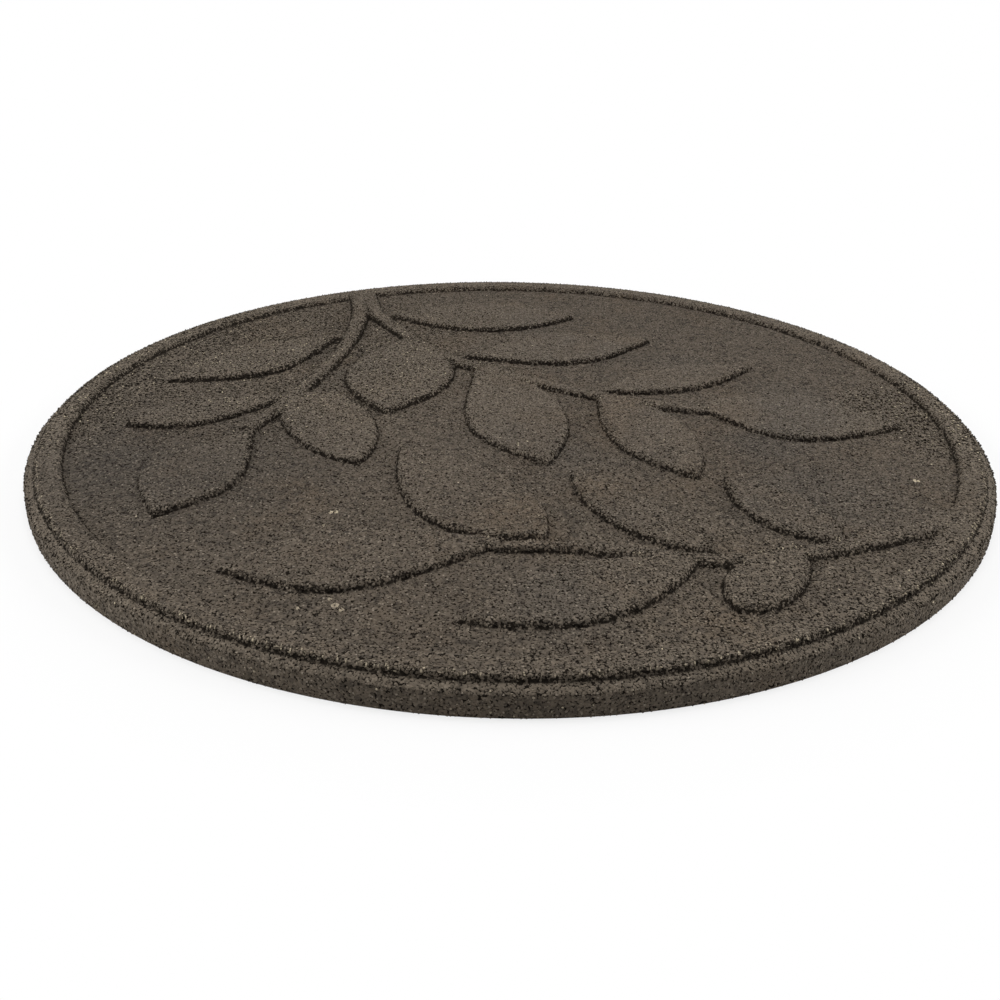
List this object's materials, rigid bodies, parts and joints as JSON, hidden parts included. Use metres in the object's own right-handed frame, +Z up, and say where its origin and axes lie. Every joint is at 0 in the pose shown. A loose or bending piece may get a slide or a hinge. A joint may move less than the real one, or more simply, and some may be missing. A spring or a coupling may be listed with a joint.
{
  "type": "garden stepping stone",
  "caption": "Round, flat garden stepping stone of moulded crumb rubber, with a raised rim and raised leaf sprigs over a sunken field.",
  "frame": {"origin": "centre of the flat underside", "axes": "+Z up through the thickness, +Y away from the viewer of the picture, +X to the right"},
  "size_m": [0.4499, 0.45, 0.013],
  "materials": {
    "crumb_rubber": "matt moulded crumb rubber with a granular, pitted surface"
  },
  "bodies": {
    "root": {"stepping_stone": "crumb_rubber"}
  },
  "joints": []
}
